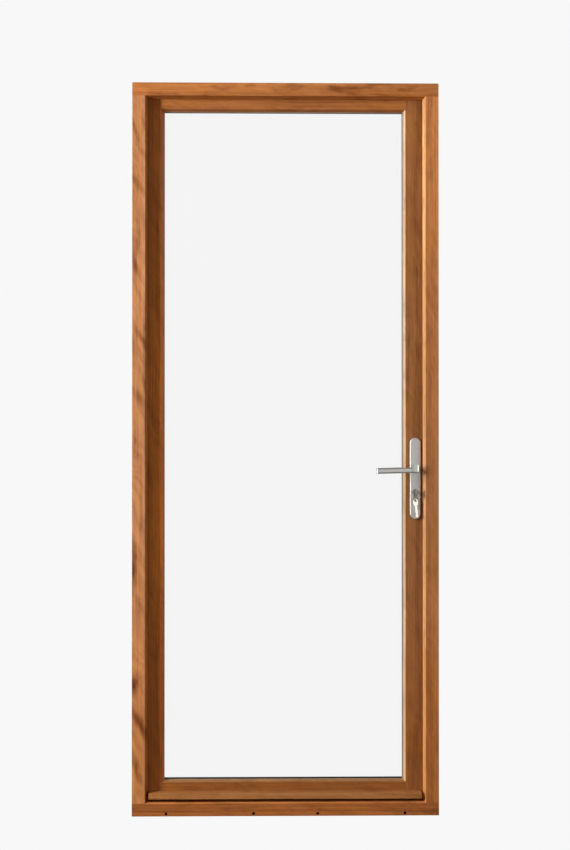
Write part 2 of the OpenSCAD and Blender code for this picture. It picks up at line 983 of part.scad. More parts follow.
module latch_spring() {
    rings = spring_turns * spring_steps;
    color(zinc)
        polyhedron(
            points = [for (i = [0:rings]) for (j = [0:spring_sides - 1]) spring_point(i, j)],
            faces = concat(
                [[for (j = [0:spring_sides - 1]) j]],
                [for (i = [0:rings - 1]) for (j = [0:spring_sides - 1])
                    let (k = (j + 1) % spring_sides, a = i * spring_sides, b = a + spring_sides)
                    each [[a + j, b + j, b + k], [a + j, b + k, a + k]]],
                [[for (j = [spring_sides - 1:-1:0]) rings * spring_sides + j]]
            )
        );
}

module dead_bolt() {
    color(brass) {
        block(lever_x - 2, leaf_x, y_mid - bolt_w / 2, y_mid + bolt_w / 2,
            dead_bolt_z - dead_bolt_h / 2, dead_bolt_z + dead_bolt_h / 2);
        block(lever_x - 12, lever_x - 2, y_mid - 3, y_mid + 3, dead_bolt_z - 4, dead_bolt_z + 4);
    }
}

module follower() {
    y0 = y_mid - case_t / 2 + 0.1;
    y1 = y_mid + case_t / 2 - 0.1;
    half = spindle_w / 2 + fit;
    color(zinc)
        difference() {
            union() {
                rod_y(lever_x, lever_z, follower_r, y0, y1);
                translate([lever_x, 0, lever_z])
                    rotate([0, arm_lean, 0])
                        block(-3, 3, y_mid - 4, y_mid + 4, 6, 20);
            }
            block(lever_x - half, lever_x + half, y0 - 1, y1 + 1, lever_z - half, lever_z + half);
        }
}

module spindle() {
    half = spindle_w / 2;
    color(zinc)
        block(lever_x - half, lever_x + half, y_leaf - plate_t - 30, y_in + plate_t + 30,
            lever_z - half, lever_z + half);
}

// ---------------------------------------------------------------- cylinder and keys

module cylinder_body() {
    y0 = y_leaf - cylinder_out;
    y1 = y_in + cylinder_out;
    color(steel)
        difference() {
            cylinder_profile(y0, y1);
            rod_y(lever_x, cylinder_z, plug_r + fit, y0 - 1, y1 + 1);
            block(lever_x - 16, lever_x + 16, y_mid - 5.2, y_mid + 5.2, cylinder_z - cam_r - 1,
                cylinder_z + 16);
            rod_x(lever_x - 6, lever_x + 6, y_mid, cylinder_screw_z, 2.5 + fit, 24);
        }
}

module keyway(y0, y1) {
    block(lever_x - key_t / 2 - 0.1, lever_x + key_t / 2 + 0.1, y0, y1,
        cylinder_z - key_blade_h / 2 - 0.1, cylinder_z + key_blade_h / 2 + 0.1);
}

module cylinder_plug() {
    y0 = y_leaf - cylinder_out;
    color(brass)
        difference() {
            rod_y(lever_x, cylinder_z, plug_r, y0, y_mid - 5);
            keyway(y0 - 1, y_mid - 8);
        }
}

module cylinder_inner_plug() {
    y1 = y_in + cylinder_out;
    color(brass)
        difference() {
            rod_y(lever_x, cylinder_z, plug_r, y_mid + 5.1, y1);
            keyway(y_mid + 8, y1 + 1);
        }
}

module cylinder_cam() {
    color(zinc)
        difference() {
            union() {
                rod_y(lever_x, cylinder_z, cylinder_r - 0.3, y_mid - 4.9, y_mid + 4.9);
                translate([lever_x, 0, cylinder_z])
                    rotate([0, 30, 0])
                        block(-3, 3, y_mid - 4.5, y_mid + 4.5, -cam_r, 0);
            }
            rod_y(lever_x, cylinder_z, 3, y_mid - 6, y_mid + 6);
        }
}

// A flat key whose blade points along +Y from the shoulder at the origin
module flat_key(blade_len, bow_r, bow_half, neck, hole_at, hole_r = 3) {
    rotate([0, 90, 0])
        translate([0, 0, -key_t / 2])
            difference() {
                union() {
                    translate([-key_blade_h / 2, -neck - 2, 0])
                        cube([key_blade_h, neck + 2 + blade_len, key_t]);
                    translate([0, -neck - bow_r, 0])
                        intersection() {
                            cylinder(r = bow_r, h = key_t, $fn = 64);
                            translate([-bow_half, -bow_r - 1, -1])
                                cube([2 * bow_half, 2 * bow_r + 2, key_t + 2]);
                        }
                }
                translate([0, -neck - hole_at, -1])
                    cylinder(r = hole_r, h = key_t + 2, $fn = 32);
                translate([key_blade_h / 2, blade_len, -1])
                    rotate([0, 0, 45])
                        cube([3.4, 3.4, key_t + 3], center = true);
                for (i = [0:4])
                    translate([-key_blade_h / 2, 5 + i * 4, -1])
                        rotate([0, 0, 45])
                            cube([1.6 + (i * 2) % 3 * 0.5, 1.6 + (i * 2) % 3 * 0.5, key_t * 4], center = true);
            }
}

module key() {
    color(steel)
        translate([lever_x, y_leaf - cylinder_out, cylinder_z])
            flat_key(30, key_bow_r, key_bow_r + 1, key_neck, 2 * key_bow_r - 6);
}

ring_z = cylinder_z + ring_top - ring_r;

module key_ring() {
    color(steel)
        translate([lever_x, ring_y, ring_z])
            rotate([90, 0, 0])
                rotate_extrude($fn = 64)
                    translate([ring_r, 0])
                        circle(r = ring_wire_r, $fn = 16);
}

// The second key hangs from the bottom of the ring, turned a little to one side
module spare_key() {
    hole_z = ring_z - ring_r - 1.1;
    bow_r = 10.5;
    hole_at = 2 * bow_r - spare_hole_r - 1.4;
    color(steel)
        translate([lever_x, ring_y, hole_z])
            rotate([-spare_lean, 0, spare_turn])
                rotate([-90, 0, 0])
                    translate([0, hole_at, 0])
                        flat_key(34, bow_r, spare_bow_half, 0, hole_at, spare_hole_r);
}

// ---------------------------------------------------------------- handles

// A rounded plate: straight sides with a crowned edge, and half-round ends
module plate_blank() {
    r = plate_w / 2;
    run = plate_h / 2 - r;
    edge = eased([[0, 0], [r, 0], [r, 4], [r - 0.5, plate_t - 1.3, 1], [r - 2.2, plate_t], [0, plate_t]]);
    for (z = [-run, run])
        translate([0, 0, z])
            rotate([90, 0, 0])
                rotate_extrude($fn = 96)
                    polygon(edge);
    translate([0, 0, -run])
        linear_extrude(2 * run)
            polygon(concat([for (p = edge) [p.x, -p.y]], [for (i = [len(edge) - 1:-1:0]) [-edge[i].x, -edge[i].y]]));
}

module handle_plate(clear_r) {
    difference() {
        translate([lever_x, y_leaf, plate_z])
            plate_blank();
        rod_y(lever_x, lever_z, clear_r, y_leaf - plate_t - 1, y_leaf + 1);
        cylinder_profile(y_leaf - plate_t - 1, y_leaf + 1, 0.3);
    }
}

// The same plate turned to face the inside
module inside() {
    translate([0, y_leaf + y_in, 0])
        mirror([0, 1, 0])
            children();
}

module outer_plate() {
    color(steel)
        difference() {
            union() {
                handle_plate(neck_r + fit);
                for (z = plate_screw_zs)
                    rod_y(lever_x, z, 4, y_leaf - 2, y_leaf + 12, 24);
            }
            for (z = plate_screw_zs)
                rod_y(lever_x, z, 2.5 + 0.02, y_leaf - 3, y_leaf + 13, 24);
        }
}

module plate_screw_set(grow = 0) {
    for (z = plate_screw_zs)
        translate([lever_x, y_in + plate_t, z])
            mirror([0, 1, 0])
                screw(leaf_t + plate_t - 1, 2.5, 5, grow);
}

module inner_plate() {
    color(steel)
        difference() {
            inside()
                handle_plate(neck_r + fit);
            plate_screw_set(0.02);
        }
}

module plate_screws() {
    color(zinc)
        plate_screw_set();
}

// A lever seen from outside: a neck on the axis, a shoulder, and a flat bar towards the hinges
module lever(reach) {
    y_front = -plate_t - bar_gap - bar_t;
    y_back = y_front + bar_t;
    half_h = lever_bar_h / 2;
    half = spindle_w / 2 + fit;
    section = eased([
        [y_front, -half_h, 4.2], [y_back, -half_h, 3], [y_back, half_h, 3], [y_front, half_h, 4.2]
    ]);
    end = eased([
        [-reach, y_back, 4.5], [-reach, y_front, 4.5], [hub_x1 - 3, y_front, 1], [hub_x1 - 3, y_back, 1]
    ]);
    difference() {
        union() {
            translate([0, 0, -bar_drop])
                rotate([0, -bar_droop, 0]) {
                    intersection() {
                        along_x(-reach, hub_x1, section);
                        translate([0, 0, -half_h])
                            linear_extrude(lever_bar_h)
                                polygon(end);
                    }
                    shoulder(y_back);
                }
            intersection() {
                translate([0, y_back, 0])
                    rotate([90, 0, 0])
                        linear_extrude(bar_t + hub_lift)
                            polygon(eased([
                                [hub_x0, hub_z0, 4], [hub_x1, hub_z0, 3], [hub_x1, hub_z1, 3], [hub_x0, hub_z1, 8]
                            ]));
                translate([0, 0, -lever_bar_h])
                    linear_extrude(2 * lever_bar_h)
                        polygon(eased([
                            [hub_x0 - 1, y_back], [hub_x0 - 1, y_front], [hub_x0 + 6, y_front - hub_lift, 4],
                            [hub_x1 - 3.5, y_front - hub_lift, 1], [hub_x1, y_front - hub_lift + 3.5, 1],
                            [hub_x1, y_back]
                        ]));
            }
            rod_y(0, 0, neck_r, y_back - 1, -1);
            rod_y(0, 0, collar_r, -plate_t - collar_t, -plate_t - 0.2);
        }
        block(-half, half, -plate_t - 31, 1, -half, half);
        translate([0, grub_y, -neck_r - 1])
            cylinder(r = grub_r + 0.02, h = neck_r, $fn = 24);
    }
}

// Curved web that leads from the neck into the back of the bar
module shoulder(y_back) {
    reach = 13;
    half_h = lever_bar_h / 2 - 2.6;
    arc = [for (i = [0:8]) [-reach * (1 - sin(i * 90 / 8)), reach * (1 - cos(i * 90 / 8))]];
    translate([-neck_r + 1.5, y_back, -half_h])
        linear_extrude(2 * half_h)
            polygon(concat([[4, -2], [-reach, -2]], arc, [[4, reach]]));
}

// The screw under the neck that holds the lever on the spindle
module grub_screw() {
    translate([0, grub_y, -neck_r + 0.4])
        cylinder(r = grub_r, h = neck_r - 0.4 - spindle_w / 2, $fn = 24);
}

module outer_lever() {
    color(steel)
        translate([lever_x, y_leaf, lever_z])
            lever(lever_len);
}

module inner_lever() {
    color(steel)
        inside()
            translate([lever_x, y_leaf, lever_z])
                lever(inner_lever_len);
}

module lever_grub_screws() {
    color(zinc) {
        translate([lever_x, y_leaf, lever_z])
            grub_screw();
        inside()
            translate([lever_x, y_leaf, lever_z])
                grub_screw();
    }
}

frame_head();
frame_hinge_jamb();
frame_lock_jamb();
frame_sill();
frame_seal();
corner_screws();
strike_plate();
strike_screws();
hinge_frame_flaps();
hinge_pins();
hinge_washers();
hinge_frame_screws();
hinge_stile();
lock_stile();
top_rail();
bottom_rail();
weather_bar();
outer_pane();
inner_pane();
spacer_bar();
edge_sealant();
outer_glazing_seal();
inner_glazing_seal();
setting_blocks();
bead_hinge_side();
bead_lock_side();
bead_top();
bead_bottom();
bead_pins();
hinge_leaf_flaps();
hinge_leaf_screws();
lock_case();
lock_cover();
lock_faceplate();
lock_screws();
latch_spring();
outer_plate();
inner_plate();
plate_screws();
cylinder_body();
cylinder_inner_plug();
cylinder_screw();
outer_lever();
inner_lever();
spindle();
follower();
lever_grub_screws();
latch_bolt();
dead_bolt();
cylinder_plug();
cylinder_cam();
key();
key_ring();
spare_key();
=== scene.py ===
"""Looks of a single glazed timber door and its frame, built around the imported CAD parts.

Outside is towards -Y, inside towards +Y, and +Z is up. Every length is in metres.
"""
import logging
import math
from dataclasses import dataclass, field
from enum import Enum
from typing import Any, Iterable

import bpy
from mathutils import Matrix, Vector

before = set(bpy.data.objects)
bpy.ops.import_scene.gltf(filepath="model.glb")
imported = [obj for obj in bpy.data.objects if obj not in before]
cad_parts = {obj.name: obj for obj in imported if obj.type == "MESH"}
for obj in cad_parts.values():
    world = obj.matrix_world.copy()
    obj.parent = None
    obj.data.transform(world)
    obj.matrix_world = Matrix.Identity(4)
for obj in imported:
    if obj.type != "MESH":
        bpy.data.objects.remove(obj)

LOG = logging.getLogger("glass_door")
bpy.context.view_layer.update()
DOOR_WIDTH = 0.9
DOOR_HEIGHT = 2.15

Number = int | float
Colour = tuple[float, float, float]
Point = tuple[float, float, float]


def srgb(red: Number, green: Number, blue: Number) -> Colour:
    """Linear colour of three display values from 0 to 255.

    Args:
        red: Display red.
        green: Display green.
        blue: Display blue.

    Returns:
        The colour as linear light.
    """
    def linear(value: float) -> float:
        """Linear light of one display value from 0 to 1."""
        return value / 12.92 if value <= 0.04045 else ((value + 0.055) / 1.055) ** 2.4

    return linear(red / 255), linear(green / 255), linear(blue / 255)


def rgba(colour: Colour) -> tuple[float, float, float, float]:
    """The colour with full opacity, as sockets want it."""
    return (*colour, 1.0)


def shade(colour: Colour, share: Number, lift: Number = 0.0) -> Colour:
    """A darker or paler kind of a colour, at most white.

    Args:
        colour: The colour.
        share: What each part is multiplied by.
        lift: What is then added.

    Returns:
        The new colour.
    """
    red, green, blue = (min(part * share + lift, 1.0) for part in colour)
    return red, green, blue


class Grain(Enum):
    """Direction that a board's fibres run in."""

    ALONG_X = "x"
    ALONG_Z = "z"


class Axis(Enum):
    """Axis that a place on a board is measured on."""

    X = 0
    Z = 2


# ------------------------------------------------------------------ shader graphs


class Value:
    """A number in a shader graph, made of one output socket."""

    def __init__(self, graph: "Graph", socket: bpy.types.NodeSocket) -> None:
        """Wraps a socket.

        Args:
            graph: The graph that holds the socket.
            socket: An output socket.
        """
        self.graph = graph
        self.socket = socket

    def _maths(self, operation: str, *others: "Term") -> "Value":
        """A Math node on this value and others."""
        sockets = {index: item for index, item in enumerate((self, *others))}
        return self.graph.node("ShaderNodeMath", {"operation": operation}, sockets)

    def __add__(self, other: "Term") -> "Value":
        """Sum."""
        return self._maths("ADD", other)

    def __radd__(self, other: Number) -> "Value":
        """Sum with the number first."""
        return self + other

    def __sub__(self, other: "Term") -> "Value":
        """Difference."""
        return self._maths("SUBTRACT", other)

    def __rsub__(self, other: Number) -> "Value":
        """Difference with the number first."""
        return self.graph.node("ShaderNodeMath", {"operation": "SUBTRACT"}, {0: other, 1: self})

    def __mul__(self, other: "Term") -> "Value":
        """Product."""
        return self._maths("MULTIPLY", other)

    def __rmul__(self, other: Number) -> "Value":
        """Product with the number first."""
        return self * other

    def __truediv__(self, other: "Term") -> "Value":
        """Quotient."""
        return self._maths("DIVIDE", other)

    def __rtruediv__(self, other: Number) -> "Value":
        """Quotient with the number first."""
        return self.graph.node("ShaderNodeMath", {"operation": "DIVIDE"}, {0: other, 1: self})

    def root(self) -> "Value":
        """Square root."""
        return self._maths("SQRT")

    def sine(self) -> "Value":
        """Sine of an angle in radians."""
        return self._maths("SINE")

    def least(self, other: "Term") -> "Value":
        """The lower of two."""
        return self._maths("MINIMUM", other)

    def most(self, other: "Term") -> "Value":
        """The higher of two."""
        return self._maths("MAXIMUM", other)

    def rise(self, start: Number, end: Number) -> "Value":
        """A smooth step from 0 at start to 1 at end."""
        return self.graph.node(
            "ShaderNodeMapRange", {"interpolation_type": "SMOOTHSTEP"},
            {"Value": self, "From Min": start, "From Max": end, "To Min": 0.0, "To Max": 1.0},
            output="Result",
        )

    def over(self, low: Number, high: Number) -> "Value":
        """This value from 0 to 1 spread over a range."""
        return self * (high - low) + low


Term = Value | Number
Owner = bpy.types.Material | bpy.types.World
Settings = dict[str, Any]
Sockets = dict[str | int, Any]


class Graph:
    """The node graph of a material or of the surround."""

    def __init__(self, owner: Owner) -> None:
        """Empties the graph.

        Args:
            owner: The material or world that it belongs to.
        """
        self.owner = owner
        self.owner.use_nodes = True
        self.tree = owner.node_tree
        self.tree.nodes.clear()
        self._place: Value | None = None

    @classmethod
    def of_material(cls, name: str) -> "Graph":
        """The empty graph of a new material."""
        return cls(bpy.data.materials.new(name))

    def _add(self, kind: str, settings: Settings | None, sockets: Sockets | None) -> bpy.types.Node:
        """Adds a node and fills it.

        Args:
            kind: The node's type.
            settings: What is set on the node before its sockets.
            sockets: A value or a link for each socket, by name or number.

        Returns:
            The node.
        """
        made = self.tree.nodes.new(kind)
        for key, setting in (settings or {}).items():
            setattr(made, key, setting)
        for key, item in (sockets or {}).items():
            if isinstance(item, Value):
                self.tree.links.new(item.socket, made.inputs[key])
            else:
                made.inputs[key].default_value = item
        return made

    def node(
        self,
        kind: str,
        settings: Settings | None = None,
        sockets: Sockets | None = None,
        output: str | int = 0,
    ) -> Value:
        """Adds a node.

        Args:
            kind: The node's type.
            settings: What is set on the node before its sockets.
            sockets: A value or a link for each socket, by name or number.
            output: The output that is wanted.

        Returns:
            The wanted output.
        """
        return Value(self, self._add(kind, settings, sockets).outputs[output])

    def place(self) -> Value:
        """The point on the object, in the door's frame.

        Returns:
            The point as a vector.
        """
        if self._place is None:
            self._place = self.node("ShaderNodeTexCoord", output="Object")
        return self._place

    def axes(self, vector: Value) -> tuple[Value, Value, Value]:
        """The three numbers of a vector.

        Args:
            vector: The vector.

        Returns:
            Its X, Y and Z.
        """
        split = self._add("ShaderNodeSeparateXYZ", None, {"Vector": vector})
        x, y, z = (Value(self, split.outputs[index]) for index in range(3))
        return x, y, z

    def join(self, x: Term, y: Term, z: Term) -> Value:
        """A vector of three numbers."""
        return self.node("ShaderNodeCombineXYZ", None, {"X": x, "Y": y, "Z": z})

    def scaled(self, vector: Value, scale: Point, shift: Point = (0.0, 0.0, 0.0)) -> Value:
        """A vector scaled along each axis and then moved."""
        return self.node(
            "ShaderNodeVectorMath", {"operation": "MULTIPLY_ADD"}, {0: vector, 1: scale, 2: shift}
        )

    def noise(
        self, vector: Value, scale: Number = 1.0, detail: Number = 2.0, rough: Number = 0.5
    ) -> Value:
        """Smooth noise around 0.5.

        Args:
            vector: The point.
            scale: Waves per metre.
            detail: Octaves.
            rough: How strong the finer octaves are.

        Returns:
            The noise.
        """
        return self.node(
            "ShaderNodeTexNoise", {"noise_dimensions": "3D"},
            {"Vector": vector, "Scale": scale, "Detail": detail, "Roughness": rough}, output="Fac",
        )

    def mix(
        self, share: Term, first: Colour | Value, second: Colour | Value, blend: str = "MIX"
    ) -> Value:
        """Mixes two colours.

        Args:
            share: How much of the second shows.
            first: A colour or a link.
            second: A colour or a link.
            blend: The way that they mix.

        Returns:
            The mixed colour.
        """
        below, above = (item if isinstance(item, Value) else rgba(item) for item in (first, second))
        settings = {"data_type": "RGBA", "blend_type": blend}
        return self.node("ShaderNodeMix", settings, {0: share, 6: below, 7: above}, output=2)

    def tinted(self, colour: Value, tint: Colour | Value) -> Value:
        """A colour multiplied by another."""
        return self.mix(1.0, colour, tint, "MULTIPLY")

    def bump(self, height: Value, distance: Number, strength: Number = 1.0) -> Value:
        """A normal that follows a height from 0 to 1 of a depth in metres."""
        return self.node(
            "ShaderNodeBump", None,
            {"Height": height, "Distance": distance, "Strength": strength}, output="Normal",
        )

    def surface(self, shader: Value) -> Owner:
        """Makes a shader the owner's surface.

        Args:
            shader: The shader.

        Returns:
            The material or world.
        """
        world = isinstance(self.owner, bpy.types.World)
        kind = "ShaderNodeOutputWorld" if world else "ShaderNodeOutputMaterial"
        self._add(kind, None, {"Surface": shader})
        return self.owner

    def principled(self, **sockets: Any) -> Value:
        """Adds a Principled shader.

        Args:
            **sockets: A value or a link for each socket, with underscores for spaces.

        Returns:
            The shader.
        """
        named = {key.replace("_", " "): item for key, item in sockets.items()}
        if not isinstance(named.get("Base Color"), Value):
            named["Base Color"] = rgba(named["Base Color"])
        return self.node("ShaderNodeBsdfPrincipled", None, named)


# ------------------------------------------------------------------ finishes


@dataclass(frozen=True)
class Streak:
    """A dark flame in the figure of a board.

    Attributes:
        across: Place across the board's face, in metres.
        along: Place along the board, in metres.
        length: Half length.
        width: Half width.
        lean: Angle of its length from the board's length, in degrees.
        depth: How dark it is, from 0 to 1.
    """

    across: float
    along: float
    length: float
    width: float
    lean: float
    depth: float = 0.6


@dataclass(frozen=True)
class PaintedLightBand:
    """A strip of a board, such as a splay or a reveal, with painted light or shade in its colour.

    Attributes:
        axis: Axis that the strip is measured on.
        start: Where the strip starts, in metres.
        end: Where it ends.
        gain: Its colour as a share of the colour around it.
        soft: Half width of its edges, in metres.
    """

    axis: Axis
    start: float
    end: float
    gain: Colour
    soft: float = 0.0006


@dataclass(frozen=True)
class Waves:
    """Noise along a board's own axes.

    Attributes:
        scale: Waves per metre across, through and along the board.
        shift: Shares of the board's seed that move the waves along each axis.
        octaves: Octaves.
        rough: How strong the finer octaves are.
    """

    scale: Point
    shift: Point
    octaves: float
    rough: float

    def on(self, graph: Graph, board: Value, seed: float) -> Value:
        """The noise around 0.5 at a point of a board.

        Args:
            graph: The board's graph.
            board: The point in the board's own axes.
            seed: The board's seed.

        Returns:
            The noise.
        """
        x, y, z = (seed * share for share in self.shift)
        return graph.noise(graph.scaled(board, self.scale, (x, y, z)), 1.0, self.octaves, self.rough)


SLOW = Waves((9.0, 9.0, 1.7), (1.0, 0.7, 1.3), 3.0, 0.55)
SWING = Waves((26.0, 26.0, 6.0), (2.1, 1.0, 1.0), 3.0, 0.6)
WANDER = Waves((60.0, 60.0, 22.0), (1.0, 3.1, 1.0), 2.0, 0.5)
FIBRE = Waves((1500.0, 1500.0, 22.0), (1.0, 1.0, 1.0), 4.0, 0.62)
RIBBON = Waves((230.0, 150.0, 3.2), (1.0, 2.0, 1.0), 3.0, 0.6)
PORES = Waves((1900.0, 1900.0, 95.0), (5.0, 1.0, 1.0), 1.0, 0.4)
MOTTLE = Waves((34.0, 20.0, 11.0), (1.0, 1.0, 4.0), 3.0, 0.6)
HONEY = Waves((24.0, 16.0, 5.5), (1.7, 1.0, 2.3), 3.0, 0.6)

# How much each part of the figure darkens the wood
RING_DARKNESS = 0.09
TONE_DARKNESS = 0.16
RIBBON_DARKNESS = 0.28
FIBRE_DARKNESS = 0.24
FLAME_DARKNESS = 0.75
SLOW_DARKNESS = 0.5
LEAST_DARKNESS = -0.02
SLANT_DARKNESS = 3.2

TONE_BEAT = 0.173
TONE_DRIFT = 9.0
HONEY_SHARE = 0.8
HONEY_TINT = (1.0, 0.99, 0.74)
PORE_SHARE = 0.35
PORE_SHADE = 0.45
KNOT_RADIUS = 0.021
KNOT_LENGTH_SHARE = 0.62
KNOT_PUSH = 0.02
STREAK_WANDER = 0.02
SLANT_WANDER = 0.09
UNEVENNESS = 0.18
GRAIN_DEPTH = 0.00016
STAIN_IOR = 1.4


@dataclass(frozen=True)
class StainedTimber:
    """Red-brown hardwood under a satin wood stain.

    Attributes:
        name: The material's name.
        grain: Direction of the fibres.
        light: Colour of the pale wood.
        dark: Colour of the dark wood.
        seed: Shifts the pattern, so that no two boards match.
        pith: Where the tree's heart lies across the board's section, in metres.
        ring: Spacing of the growth rings, in metres.
        waver: How much the rings wander, in metres.
        flame: Strength of the wide dark figure, from 0 to 1.
        figure: Strength of the slanting bands of interlocked grain.
        lean: Angle of those bands from the board's length, in degrees.
        ends: Painted light and shade, as brightness at the board's low and high ends.
        streaks: Single dark flames.
        knots: Places along and across of small burls, in metres.
        bands: Strips of painted light and shade, such as lit splays and shaded reveals.
    """

    name: str
    grain: Grain
    light: Colour
    dark: Colour
    seed: float
    pith: tuple[float, float] = (0.09, 0.12)
    ring: float = 0.006
    waver: float = 0.012
    flame: float = 0.5
    figure: float = 0.16
    lean: float = -24.0
    ends: tuple[float, float] = (1.0, 1.0)
    streaks: tuple[Streak, ...] = ()
    knots: tuple[tuple[float, float], ...] = ()
    bands: tuple[PaintedLightBand, ...] = ()

    def _with_painted_light_bands(self, graph: Graph, colour: Value) -> Value:
        """The colour with the board's strips of painted light and shade in it.

        Args:
            graph: The board's graph.
            colour: The colour without them.

        Returns:
            The colour with them.
        """
        places = graph.axes(graph.place())
        for painted_strip in self.bands:
            # Each strip paints light or shade by scaling the colour inside it
            place = places[painted_strip.axis.value]
            inside = place.rise(painted_strip.start - painted_strip.soft, painted_strip.start + painted_strip.soft)
            inside = inside * (1 - place.rise(painted_strip.end - painted_strip.soft, painted_strip.end + painted_strip.soft))
            colour = graph.mix(inside, colour, graph.tinted(colour, graph.join(*painted_strip.gain)))
        return colour

    def _board_axes(self, graph: Graph) -> tuple[Value, Value, Value]:
        """The point's places across the face, through the depth, and along the board."""
        x, y, z = graph.axes(graph.place())
        return (x, y, z) if self.grain is Grain.ALONG_Z else (z, y, x)

    def _streak_mask(self, across: Value, along: Value, wander: Value) -> Value:
        """The single flames, from 0 to 1.

        Args:
            across: Place across the board's face.
            along: Place along the board.
            wander: Noise that roughens the flames' edges.

        Returns:
            The strongest flame at the point.
        """
        total: Value | None = None
        for streak in self.streaks:
            turn = math.radians(streak.lean)
            da = across - streak.across
            dz = along - streak.along
            long_way = (dz * math.cos(turn) + da * math.sin(turn)) / streak.length
            cross_way = da * math.cos(turn) - dz * math.sin(turn) + (wander - 0.5) * STREAK_WANDER
            cross_way = cross_way / streak.width
            far = (long_way * long_way + cross_way * cross_way).root()
            mask = (1 - far.rise(0.0, 1.5)) * streak.depth
            total = mask if total is None else total.most(mask)
        return total

    def _slanting(self, graph: Graph, across: Value, through: Value, along: Value) -> Value:
        """Slanting bands of interlocked grain.

        Args:
            graph: The board's graph.
            across: Place across the board's face.
            through: Place through its depth.
            along: Place along the board.

        Returns:
            The bands' darkness, around 0.
        """
        turn = math.radians(self.lean)
        bend = graph.noise(graph.join(across * 12.0, through * 12.0, along * 5.0 + self.seed))
        cross_way = across * math.cos(turn) - along * math.sin(turn) + (bend - 0.5) * SLANT_WANDER
        long_way = across * math.sin(turn) + along * math.cos(turn)
        place = graph.join(cross_way * 70.0 + self.seed, through * 30.0, long_way * 9.0 + self.seed)
        return (graph.noise(place, 1.0, 4.0, 0.6) - 0.5) * (self.figure * SLANT_DARKNESS)

    def _reach(self, point: tuple[Value, Value, Value], waves: tuple[Value, Value, Value]) -> Value:
        """Distance from the tree's heart, with the wander and the knots in it.

        Args:
            point: Places across, through and along the board.
            waves: The slow, swinging and wandering noise.

        Returns:
            The distance, which counts the growth rings.
        """
        across, through, along = point
        slow, swing, wander = waves
        du = across - self.pith[0] + (slow - 0.5) * self.waver * 6
        du = du + (swing - 0.5) * self.waver * 1.6
        dv = through - self.pith[1] + (swing - 0.5) * self.waver
        reach = (du * du + dv * dv).root() + (wander - 0.5) * self.waver * 0.18
        for knot_along, knot_across in self.knots:
            da = across - knot_across
            dz = (along - knot_along) * KNOT_LENGTH_SHARE
            reach = reach + (1 - (da * da + dz * dz).root().rise(0.0, KNOT_RADIUS)) * KNOT_PUSH
        return reach

    def _painted_light_and_tone(self, along: Value, slow: Value) -> Value:
        """Painted light and shade from the board's low end to its high end, with the wood's own uneven
        tone.

        Args:
            along: Place along the board.
            slow: The slow noise.

        Returns:
            The brightness, around 1.
        """
        if self.grain is Grain.ALONG_Z:
            share = along / DOOR_HEIGHT
        else:
            share = (along + DOOR_WIDTH / 2) / DOOR_WIDTH
        # The ends paint light and shade along the board; the slow noise is the wood's own uneven tone
        return share.over(*self.ends) + (slow - 0.5) * UNEVENNESS

    def material(self) -> bpy.types.Material:
        """Builds the material.

        Returns:
            Its node material.
        """
        graph = Graph.of_material(self.name)
        across, through, along = self._board_axes(graph)
        board = graph.join(across, through, along)
        slow, swing, wander, fibre, ribbon, mottle, honey = (
            waves.on(graph, board, self.seed)
            for waves in (SLOW, SWING, WANDER, FIBRE, RIBBON, MOTTLE, HONEY)
        )
        pores = PORES.on(graph, board, self.seed).rise(0.64, 0.74)
        reach = self._reach((across, through, along), (slow, swing, wander))
        phase = reach * (2 * math.pi / self.ring)
        rings = phase.sine() * 0.5 + 0.5
        ring_tone = (phase * TONE_BEAT + slow * TONE_DRIFT).sine() * 0.5 + 0.5
        flame = mottle.rise(0.50, 0.72) * self.flame
        if self.streaks:
            flame = flame.most(self._streak_mask(across, along, wander))
        darkness = rings * RING_DARKNESS + ring_tone * TONE_DARKNESS
        darkness = darkness + ribbon.rise(0.3, 0.72) * RIBBON_DARKNESS + fibre * FIBRE_DARKNESS
        darkness = darkness + self._slanting(graph, across, through, along)
        darkness = darkness + flame * FLAME_DARKNESS + (slow - 0.5) * SLOW_DARKNESS
        darkness = (darkness + LEAST_DARKNESS).most(0.0).least(1.0)
        colour = graph.mix(darkness, self.light, self.dark)
        # Painted light and shade along the board, with the wood's uneven tone
        painted_light_and_tone = self._painted_light_and_tone(along, slow)
        colour = graph.tinted(colour, graph.join(painted_light_and_tone, painted_light_and_tone, painted_light_and_tone))
        colour = graph.mix(pores * PORE_SHARE, colour, shade(self.dark, PORE_SHADE))
        golden = graph.tinted(colour, HONEY_TINT)
        colour = graph.mix(honey.rise(0.42, 0.70) * HONEY_SHARE, colour, golden)
        colour = self._with_painted_light_bands(graph, colour)
        height = fibre * 0.5 + (1 - pores) * 0.35 + rings * 0.15
        shader = graph.principled(
            Base_Color=colour,
            Roughness=(fibre * 0.16 + 0.40 + pores * 0.1 - flame * 0.06),
            Normal=graph.bump(height, GRAIN_DEPTH, 0.55),
            Coat_Weight=(0.12 - pores * 0.08),
            Coat_Roughness=0.30,
            Coat_IOR=STAIN_IOR,
            IOR=STAIN_IOR,
            Specular_IOR_Level=0.14,
        )
        return graph.surface(shader)


class Brush(Enum):
    """How a metal surface was finished."""

    VERTICAL = (1400.0, 1400.0, 14.0)
    LEVEL = (14.0, 1400.0, 1400.0)
    TUMBLED = (700.0, 700.0, 700.0)


